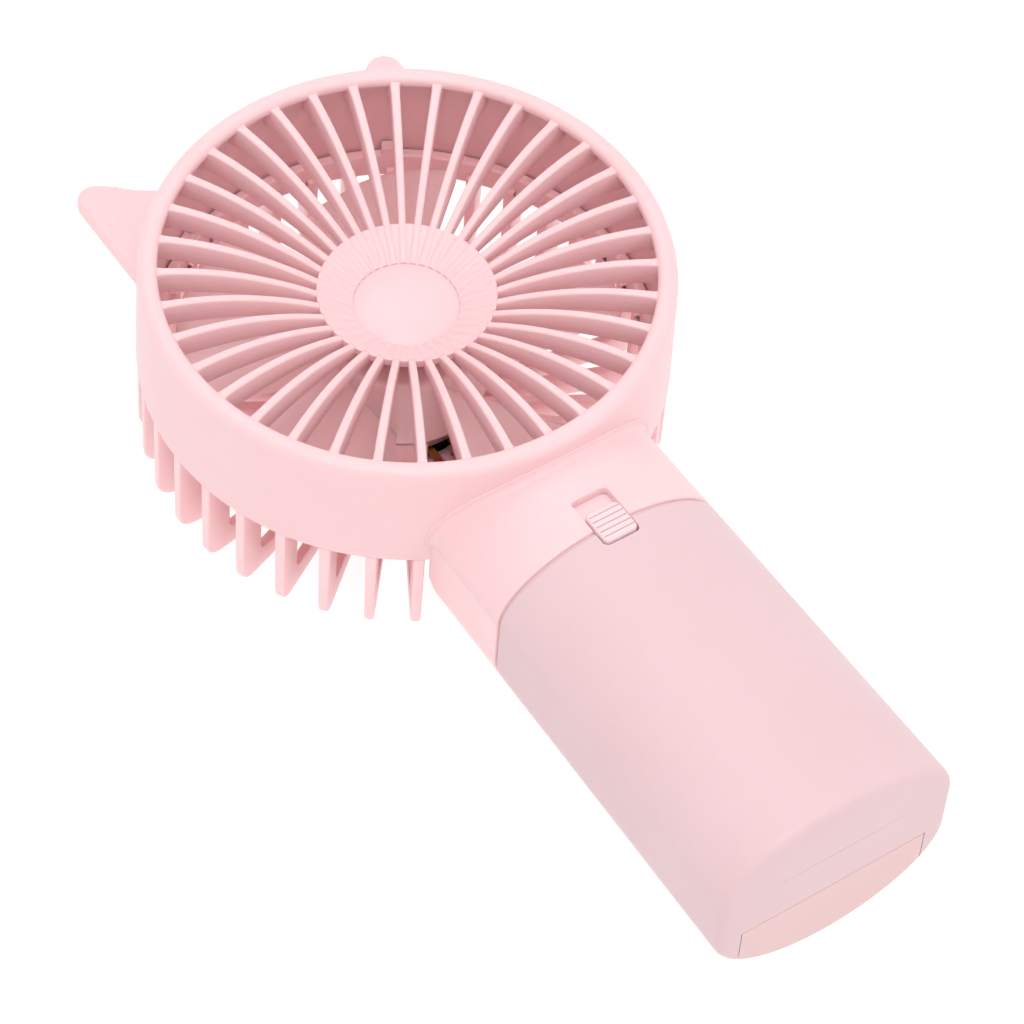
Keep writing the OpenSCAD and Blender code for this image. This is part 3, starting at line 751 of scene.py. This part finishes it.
def make_ear(side):
    """A flat ear with a round tip, a nearly straight outer edge and a hollow inner edge."""
    tip = np.array([EAR_HIGH.x - EAR_TIP_R, EAR_HIGH.y - EAR_TIP_R])
    outline = [np.array([EAR_HIGH.x - 8, EAR_ROOT_Y]), np.array([EAR_HIGH.x + 0.1, EAR_ROOT_Y + 0.4])]
    for k in range(11):
        a = math.radians(128 * k / 10)
        outline.append(tip + EAR_TIP_R * np.array([math.cos(a), math.sin(a)]))
    outline += bezier([(26.4, 54.2), (22.4, 48.6), (13, 45.6)], 8)[1:]
    outline.append(np.array([10.0, 43.0]))
    middle = (EAR_LOW.z + EAR_HIGH.z) / 2
    half = (EAR_HIGH.z - EAR_LOW.z) / 2

    def place(p, off):
        return (side * p[0], p[1], middle + off)
    return rounded_plate(outline, lambda p: half, EAR_EDGE, place, 5)


def make_ears():
    """Both ears, each cut to the drum's curve."""
    low, high, core_in_r, core_r = 10, 30, 20, RIM_R + 0.02
    drum_core = [(core_r, low), (core_r, high), (core_in_r, high), (core_in_r, low)]
    for side, node in ((1, "right_ear"), (-1, "left_ear")):
        ear = combine(make_ear(side), revolve("core", drum_core, 240))
        ear.name = node + "_looks"
        dress(ear, "root", "pink_ears", node)


# ---- rear cage ----

def fin_outline():
    """The L of a fin: a foot along the floor and a leg up to the drum's rim."""
    foot_in = DISC_R - 2
    leg_in = FIN_R - LEG_DEPTH
    corners = [(foot_in, 0, 0), (FIN_R, 0, 3.0), (FIN_R, RIM_Z - 0.1, 0.2), (leg_in, RIM_Z - 0.1, 0.2),
               (leg_in, FOOT_H, 1.5), (foot_in, FOOT_H, 0)]
    return round_corners(corners, 6)


def make_fin(angle):
    c, s = math.cos(math.radians(angle)), math.sin(math.radians(angle))

    def half(p):
        return lerp(0.78, 0.96, p[1] / RIM_Z)

    def place(p, off):
        return (p[0] * c - off * s, p[0] * s + off * c, p[1])
    return rounded_plate(fin_outline(), half, 0.32, place, 3)


def make_cage_ring():
    """The ring inside the drum that ties the fins together."""
    low = RIM_Z - 2
    profile = round_corners([(RING_IN_R, low, 0.3), (RING_R, low, 0.3), (RING_R, RING_TOP, 0.4),
                             (RING_IN_R, RING_TOP, 0.4)], 3)
    return revolve("ring", profile, 180)


def make_tab(angle):
    """A clip tab on top of the cage ring."""
    c, s = math.cos(math.radians(angle)), math.sin(math.radians(angle))
    low, top = RING_TOP - 1, RING_TOP + TAB_H
    section = round_corners([(-TAB_HALF_W, low, 0), (TAB_HALF_W, low, 0), (TAB_HALF_W, top, 0.4),
                             (-TAB_HALF_W, top, 0.4)], 3)
    return loft("tab", [[(r * c - x * s, r * s + x * c, z) for x, z in section] for r in (RING_IN_R, RING_R)])


def make_seat():
    """The middle disc and the cup that holds the motor, with a gap in the cup for the leads."""
    profile = round_corners([(0, 0, 0), (DISC_R, 0, 0.5), (DISC_R, DISC_T, 0.4), (SEAT_R, DISC_T, 0.5),
                             (SEAT_R, SEAT_TOP, 0.3), (SEAT_IN_R, SEAT_TOP, 0.2), (SEAT_IN_R, DISC_T, 0.3),
                             (0, DISC_T, 0)], 4)
    lead_gap = block((-3.4, -16, 4), (3.4, -8, 12))
    return combine(revolve("seat", profile, 144), lead_gap)


def cage_side(x, z, radius):
    """Where the neck stops short of the cage: it draws back below the straight sides."""
    return to_circle(x, radius + SET_BACK * max(0.0, 1 - z / DOOR_Z))


def make_neck_rear():
    """The back half of the neck, with a rounded edge at the seam."""
    keys = back_path(8, 64)
    body = 22
    outer, inner = [], []
    for y, inset in start_rows(SEAM_Y + HALF_SEAM, NECK_EDGE, 1):
        outer.append([back_point(key, y, inset) for key in keys])
        inner.append([back_point(key, y, NECK_WALL) for key in keys])
    begin = outer[-1][0][1]
    for i in range(1, body + 1):
        for rows, inset in ((outer, 0), (inner, NECK_WALL)):
            row = []
            for key in keys:
                x, _, z = back_point(key, HEAD_SIDE_Y, inset)
                y = lerp(begin, cage_side(x, z, RIM_R - 0.3), i / body)
                row.append(back_point(key, y, inset))
            rows.append(row)
    return shell("neck_rear", outer, inner)


def make_neck_wall():
    """The curved wall that closes the neck against the cage, with the hole for the motor leads."""
    round_steps, height_steps = 24, 12
    half_angle, thickness = 26, 2
    outer, inner = [], []
    for i in range(round_steps + 1):
        a = math.radians(lerp(-90 - half_angle, -90 + half_angle, i / round_steps))
        row_out, row_in = [], []
        for k in range(height_steps + 1):
            z = lerp(0.4, RIM_Z + 4, k / height_steps)
            r = RIM_R - 0.1 + SET_BACK * max(0.0, 1 - z / DOOR_Z)
            row_out.append((r * math.cos(a), r * math.sin(a), z))
            row_in.append(((r + thickness) * math.cos(a), (r + thickness) * math.sin(a), z))
        outer.append(row_out)
        inner.append(row_in)
    inside_neck = loft("core", [[back_point(key, y, 0.6) for key in back_path(8, 64)] for y in (-58, -38)])
    wall = combine(shell("neck_wall", outer, inner), inside_neck, "INTERSECT")
    half_w, low, high = 3, 3.4, 9.2
    hole = round_corners([(-half_w, low, 1), (half_w, low, 1), (half_w, high, 1), (-half_w, high, 1)], 4)
    return combine(wall, loft("cutter", [[(x, y, z) for x, z in hole] for y in (-55, -40)]))


def make_arm():
    """The flat arm from the neck to the motor's disc, which carries the leads."""
    edge = 0.5
    section = round_corners([(-ARM_HALF_W, ARM_LOW, edge), (ARM_HALF_W, ARM_LOW, edge),
                             (ARM_HALF_W, ARM_TOP, edge), (-ARM_HALF_W, ARM_TOP, edge)], 3)
    return loft("arm", [[(x, y, z) for x, z in section] for y in (-52.4, -14.0)])


def screw_recess(x, y, depth):
    """The round recess of a case screw, as a body to cut with."""
    below = -2
    bevel = 0.3
    profile = [(0, below), (SCREW_HEAD_R, below), (SCREW_HEAD_R, depth - bevel),
               (SCREW_HEAD_R - bevel, depth), (0, depth)]
    cutter = revolve("cutter", profile, 32)
    cutter.data.transform(Matrix.Translation(Vector((x, y, 0)) * MM))
    return cutter


def make_rear_shell():
    neck = make_neck_rear()
    x, y, depth = NECK_SCREW
    for side in (-1, 1):
        neck = combine(neck, screw_recess(side * x, y, depth))
    fins = join("fins", [make_fin(360 / SPOKES * i) for i in range(SPOKES)])
    whole = make_seat()
    tabs = join("tabs", [make_tab(angle) for angle in TAB_ANGLES])
    for piece in (fins, make_cage_ring(), tabs, make_arm(), make_neck_wall(), neck):
        whole = combine(whole, piece, "UNION", 38)
    whole.name = "rear_shell_looks"
    return dress(whole, "root", "pink_cage", "rear_shell")


# ---- handle covers, door ----

def make_handle_front():
    keys = [180 * j / 72 for j in range(73)]
    piece = cover("handle_front_looks", front_point, keys, PART_Z + 0.05)
    piece = combine(combine(piece, slot_cutter()), flange_pocket())
    return dress(piece, "root", "pink_case", "handle_front")


def make_handle_rear():
    """The rear cover, open where the battery door goes."""
    piece = cover("handle_rear_looks", back_point, back_path(8, 72), PART_Z - 0.05)
    gap = 0.2
    half_w = DOOR_HALF_W + gap
    outside = (-half_w, END_Y - 3, -3)
    piece = combine(piece, block(outside, (half_w, DOOR_HIGH.y + gap, DOOR_Z - 1.5)))
    piece = combine(piece, block(outside, (half_w, END_Y + WALL + gap, DOOR_Z)))
    x, y, depth = CASE_SCREW
    for side in (-1, 1):
        piece = combine(piece, screw_recess(side * x, y, depth))
    return dress(piece, "root", "pink_case", "handle_rear")


def door_point(share, y, inset):
    """Point of the door's curved section. share runs from -1 to 1 across it."""
    half = width_at(y) / 2 - inset
    x = share * DOOR_HALF_W
    return (x, y, DOOR_Z - (BACK_RISE - inset) * math.sqrt(max(0.0, 1 - (x / half) ** 2)))


def door_groove(y):
    """Depth of the grip grooves at y, near the door's top."""
    depth = 0
    for i in range(GROOVES):
        centre = DOOR_HIGH.y - 6 - GROOVE_PITCH * i
        depth = max(depth, GROOVE_DEPTH * (1 - smooth_step(abs(y - centre) / 0.7)))
    return depth


def make_battery_door():
    """The curved door, with the lower part of the end face and grip grooves near its top."""
    cols = 60
    body_steps = 60
    end_steps = 7
    rows = edge_rows(DOOR_HIGH.y, DOOR_EDGE, body_steps, end_steps)
    shares = [-math.cos(math.pi * j / cols) * 0.3 + 0.7 * (2 * j / cols - 1) for j in range(cols + 1)]
    outer, inner = [], []
    for i, (y, inset) in enumerate(rows):
        groove = door_groove(y)
        row = []
        for share in shares:
            deep = groove * (1 - smooth_step((abs(share) - 0.38) / 0.06))
            near_side = max(0.0, (abs(share) * DOOR_HALF_W - DOOR_HALF_W + DOOR_EDGE) / DOOR_EDGE)
            border = DOOR_EDGE * (1 - math.sqrt(max(0.0, 1 - near_side ** 2)))
            row.append(door_point(share, y, inset + deep + border))
        outer.append(row)
        y_in = inner_y(y, i, rows, end_steps)
        inner.append([door_point(share, y_in, WALL) for share in shares])
    end_outer, end_inner = outer[-1], inner[-1]
    top = DOOR_HIGH.z
    for share in (0.2, 0.5, 0.8, 0.97, 1.0):
        pull = 0.25 if share == 1.0 else 0
        outer.append([(x, y + pull, lerp(z, top, share)) for x, y, z in end_outer])
        inner.append([(x, y, lerp(z, top, share)) for x, y, z in end_inner])
    return dress(shell("battery_door_looks", outer, inner), "door", "pink_door", "battery_door")


# ---- switch knob ----

def make_knob():
    """The slide knob: rounded corners, a soft top edge and grooves across, on its flange."""
    half_w = SLOT_W / 2 - KNOB_GAP
    low_y = SLOT_Y - SLOT_L / 2 + KNOB_GAP
    high_y = low_y + SLOT_L - KNOB_TRAVEL - 0.3
    top = HANDLE_TOP + 0.4
    body = []
    for z, inset in ((33.2, 0), (top - 0.45, 0), (top - 0.22, 0.08), (top - 0.06, 0.24), (top, 0.45)):
        w, y0, y1 = half_w - inset, low_y + inset, high_y - inset
        corners = [(w, y0, 1.0), (w, y1, 1.0), (-w, y1, 1.0), (-w, y0, 1.0)]
        body.append([(x, y, z) for x, y in round_corners(corners, 6)])
    knob = loft("knob", body)
    for i in range(KNOB_GROOVES):
        y = lerp(low_y, high_y, (i + 1) / (KNOB_GROOVES + 1))
        section = round_corners([(y - 0.07, top - 0.35, 0.05), (y + 0.07, top - 0.35, 0.05),
                                 (y + 0.2, top + 0.3, 0), (y - 0.2, top + 0.3, 0)], 3)
        cutter = loft("cutter", [[(x, yy, zz) for yy, zz in section] for x in (-half_w + 0.3, half_w - 0.3)])
        knob = combine(knob, cutter)
    w, y0, y1 = FLANGE_HALF_W, KNOB_LOW.y, KNOB_HIGH.y
    plan = round_corners([(w, y0, 0.6), (w, y1, 0.6), (-w, y1, 0.6), (-w, y0, 0.6)], 4)
    flange = loft("flange", [[(x, y, z) for x, y in plan] for z in (FLANGE_TOP - FLANGE_T, FLANGE_TOP)])
    return dress(join("switch_knob_looks", [knob, flange]), "switch", "knob", "switch_knob")


# ---- impeller ----

def make_hub():
    low, top = ROTOR_LOW.z, ROTOR_HIGH.z
    profile = round_corners([(0, HUB_ROOF_Z, 0), (HUB_IN_R, HUB_ROOF_Z, 0.6), (HUB_IN_R, low, 0.2),
                             (HUB_R, low, 0.2), (HUB_R, top, 1.3), (0, top, 0)], 5)
    return revolve("hub", profile, 144)


def make_blade(start):
    """A twisted blade with rounded outer corners, thinner towards its edges."""
    across, along = 16, 22
    root, tip = HUB_R - 0.6, ROTOR_HIGH.x
    outer, inner = [], []
    for i in range(along + 1):
        share = i / along
        r = lerp(root, tip, share)
        past_corner = max(0.0, (r - tip + BLADE_CORNER) / BLADE_CORNER)
        shrink = BLADE_CORNER * (1 - math.sqrt(max(0.0, 1 - past_corner ** 2))) / BLADE_H
        shrink = min(shrink, 0.48)
        row_a, row_b = [], []
        for j in range(across + 1):
            v = lerp(shrink, 1 - shrink, j / across)
            z = BLADE_LOW + BLADE_H * v
            angle = math.radians(start - BLADE_TWIST * v)
            rim = min(j, across - j) / across
            thick = HALF_BLADE * math.sqrt(min(1.0, rim * 9 + 0.06)) * (1 if i < along else 0.3)
            slope = math.radians(BLADE_TWIST) * r / BLADE_H
            nx, nz = 1 / math.hypot(1, slope), slope / math.hypot(1, slope)
            tx, ty = -math.sin(angle), math.cos(angle)
            p = np.array([r * math.cos(angle), r * math.sin(angle), z])
            n = np.array([tx * nx, ty * nx, nz])
            row_a.append(p + n * thick)
            row_b.append(p - n * thick)
        outer.append(row_a)
        inner.append(row_b)
    return shell("blade", outer, inner, 60)


def make_impeller():
    pieces = [make_hub()] + [make_blade(BLADE_PHASE + 360 / BLADES * i) for i in range(BLADES)]
    return dress(join("impeller_looks", pieces, 50), "fan_rotor", "blades", "impeller")


make_front_shell()
make_hub_cap()
make_ears()
make_rear_shell()
make_handle_front()
make_handle_rear()
make_battery_door()
make_knob()
make_impeller()

# The CAD nodes that stay visible get the materials of their slots.
for part in frame["record"]["subparts"]:
    node = frame["nodes"][part["node"]]
    if not node.hide_render:
        node.data.materials.clear()
        node.data.materials.append(MATERIALS[part["material_slot"]])
        node.data.shade_smooth()
        node.data.set_sharp_from_angle(angle=math.radians(32))


# ---- stage, light, camera ----

def make_floor():
    """A plain pale floor just under the fan, which gives off some light of its own."""
    half, z = 3000.0, -0.3
    corners = [(-half, -half, z), (half, -half, z), (half, half, z), (-half, half, z)]
    floor = build("floor", corners, [[0, 1, 2, 3]])
    paint = Paint("floor")
    tone = paint.ramp(paint.noise(60, 2), 0.3, (0.24, 0.24, 0.24, 1), 0.7, (0.26, 0.26, 0.26, 1))
    paint.link(tone, paint.shader.inputs["Base Color"])
    paint.set(Roughness=0.9)
    paint.shader.inputs["Emission Color"].default_value = (1, 1, 1, 1)
    paint.shader.inputs["Emission Strength"].default_value = 0.86
    floor.data.materials.append(paint.material)


def aim(thing, place, target):
    """Puts a thing at a place, in metres, and turns its front to the target."""
    thing.location = place
    thing.rotation_euler = (Vector(target) - Vector(place)).to_track_quat("-Z", "Y").to_euler()


def make_light(name, place, size, power):
    data = bpy.data.lights.new(name, "AREA")
    data.shape = "DISK"
    data.size = size
    data.energy = power
    light = bpy.data.objects.new(name, data)
    bpy.context.scene.collection.objects.link(light)
    aim(light, place, (0, -0.04, 0.02))


def make_world(strength):
    world = bpy.data.worlds.new("studio")
    bpy.context.scene.world = world
    world.use_nodes = True
    sky = world.node_tree.nodes["Background"]
    sky.inputs["Color"].default_value = (1, 1, 1, 1)
    sky.inputs["Strength"].default_value = strength


def make_camera():
    """A long lens that looks down over the handle's end, turned a little about its own axis."""
    azimuth, elevation, roll = (math.radians(a) for a in (-37.77, 52.13, 4.80))
    target = Vector((-14.61, -52.44, FACE_Z)) * MM
    distance = 0.7218
    back = Vector((math.sin(azimuth) * math.cos(elevation), -math.cos(azimuth) * math.cos(elevation),
                   math.sin(elevation)))
    right = Vector((math.cos(azimuth), math.sin(azimuth), 0))
    up = back.cross(right)
    side = right * math.cos(roll) + up * math.sin(roll)
    top = up * math.cos(roll) - right * math.sin(roll)
    data = bpy.data.cameras.new("camera")
    data.sensor_width = 36
    data.lens = 159.5
    data.clip_end = 20
    camera = bpy.data.objects.new("camera", data)
    bpy.context.scene.collection.objects.link(camera)
    turn = Matrix((side, top, back)).transposed().to_4x4()
    camera.matrix_world = Matrix.Translation(target + back * distance) @ turn
    bpy.context.scene.camera = camera


make_floor()
make_world(0.84)
make_light("key", (-0.2, -0.3, 1.35), 0.6, 5.8)
make_light("back", (0.1, 0.7, 1.1), 0.7, 2)
make_light("edge", (0.45, -0.8, 0.7), 0.2, 0.9)
make_camera()
bpy.context.scene.view_settings.view_transform = "Standard"
